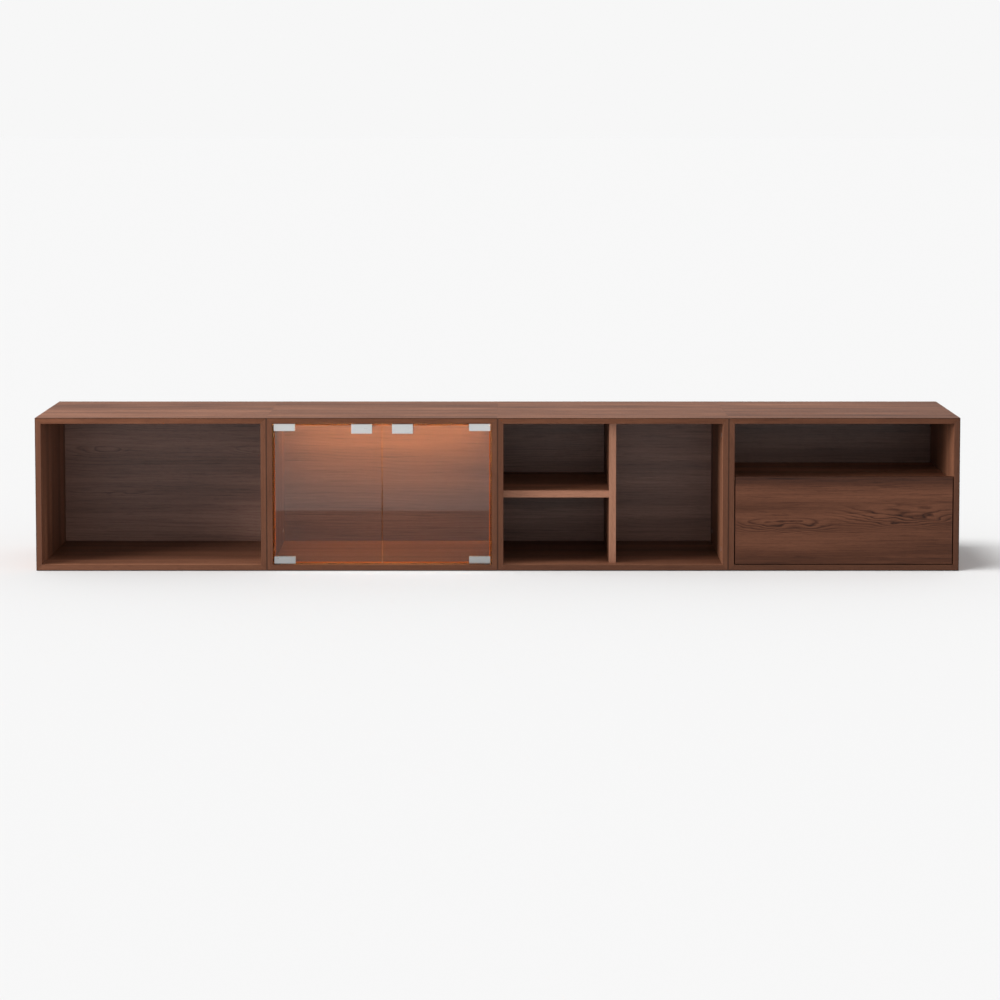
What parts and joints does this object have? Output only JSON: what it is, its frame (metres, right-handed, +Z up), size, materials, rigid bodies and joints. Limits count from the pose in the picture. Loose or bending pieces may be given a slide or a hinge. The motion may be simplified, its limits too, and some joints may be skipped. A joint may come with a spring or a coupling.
{
  "type": "cube storage unit",
  "caption": "Low wide storage cabinet of joined box modules in dark wood: open bays, inset glass doors with a warm inner light, a half shelf and a handle-less drawer.",
  "frame": {"origin": "middle of the footprint, on the floor", "axes": "+X along the cabinet to the right as seen from the front, +Y to the back, +Z up"},
  "size_m": [2.4, 0.4, 0.4],
  "materials": {
    "walnut_veneer": "dark stained open-pore veneer, satin",
    "drawer_box_wood": "stained veneer, matt",
    "beech_joinery": "raw",
    "zinc_steel": "zinc plated",
    "blackened_steel": "black zinc plated",
    "satin_chrome": "satin",
    "black_rubber": "matt",
    "tinted_glass": "clear, lightly bronze tinted, polished edges",
    "black_nylon": "moulded, matt",
    "anodised_aluminium": "anodised, satin",
    "light_circuit": "white solder mask",
    "light_diffuser": "frosted, lit warm white"
  },
  "bodies": {
    "cabinet": {"open_box_top": "walnut_veneer", "open_box_bottom": "walnut_veneer", "open_box_left_side": "walnut_veneer", "open_box_right_side": "walnut_veneer", "open_box_back": "walnut_veneer", "glass_box_top": "walnut_veneer", "glass_box_bottom": "walnut_veneer", "glass_box_left_side": "walnut_veneer", "glass_box_right_side": "walnut_veneer", "glass_box_back": "walnut_veneer", "divided_box_top": "walnut_veneer", "divided_box_bottom": "walnut_veneer", "divided_box_left_side": "walnut_veneer", "divided_box_right_side": "walnut_veneer", "divided_box_back": "walnut_veneer", "drawer_box_top": "walnut_veneer", "drawer_box_bottom": "walnut_veneer", "drawer_box_left_side": "walnut_veneer", "drawer_box_right_side": "walnut_veneer", "drawer_box_back": "walnut_veneer", "mitre_biscuits": "beech_joinery", "connector_sleeves": "zinc_steel", "connector_screws": "zinc_steel", "floor_pads": "black_rubber", "divider": "walnut_veneer", "half_shelf": "walnut_veneer", "niche_floor": "walnut_veneer", "shelf_dowels": "beech_joinery", "pivot_bushes": "black_nylon", "latch_housings": "black_nylon", "light_channel": "anodised_aluminium", "light_circuit_strip": "light_circuit", "light_diffuser": "light_diffuser", "light_end_caps": "anodised_aluminium", "lead_grommet": "black_rubber", "slide_cabinet_members": "blackened_steel", "slide_screws": "blackened_steel"},
    "left_door": {"left_door_glass": "tinted_glass", "left_door_clamps": "satin_chrome", "left_door_pads": "black_rubber", "left_door_screws": "zinc_steel", "left_door_pins": "zinc_steel", "left_strike_plate": "satin_chrome"},
    "right_door": {"right_door_glass": "tinted_glass", "right_door_clamps": "satin_chrome", "right_door_pads": "black_rubber", "right_door_screws": "zinc_steel", "right_door_pins": "zinc_steel", "right_strike_plate": "satin_chrome"},
    "left_plunger": {"left_latch_plunger": "zinc_steel"},
    "right_plunger": {"right_latch_plunger": "zinc_steel"},
    "drawer": {"drawer_front": "walnut_veneer", "drawer_left_side": "drawer_box_wood", "drawer_right_side": "drawer_box_wood", "drawer_inner_front": "drawer_box_wood", "drawer_rear": "drawer_box_wood", "drawer_bottom": "drawer_box_wood", "drawer_screws": "zinc_steel", "slide_drawer_members": "blackened_steel"},
    "slide_middle": {"slide_middle_members": "blackened_steel"}
  },
  "joints": [
    {"name": "left_door_hinge", "type": "hinge", "parent": "cabinet", "child": "left_door", "pos_m": [-0.572, -0.1885, 0.2], "axis": [0, 0, -1], "range_deg": [0, 105]},
    {"name": "right_door_hinge", "type": "hinge", "parent": "cabinet", "child": "right_door", "pos_m": [-0.028, -0.1885, 0.2], "axis": [0, 0, 1], "range_deg": [0, 105]},
    {"name": "left_latch_push", "type": "slide", "parent": "cabinet", "child": "left_plunger", "axis": [0, 1, 0], "range_m": [0, 0.0025], "stiffness_N_per_m": 600},
    {"name": "right_latch_push", "type": "slide", "parent": "cabinet", "child": "right_plunger", "axis": [0, 1, 0], "range_m": [0, 0.0025], "stiffness_N_per_m": 600},
    {"name": "drawer_slide", "type": "slide", "parent": "cabinet", "child": "drawer", "axis": [0, -1, 0], "range_m": [0, 0.3]},
    {"name": "slide_middle_travel", "type": "slide", "parent": "cabinet", "child": "slide_middle", "axis": [0, -1, 0], "range_m": [0, 0.15]}
  ],
  "couplings": [
    {"joint": "slide_middle_travel", "follows": "drawer_slide", "ratio": 0.5}
  ]
}
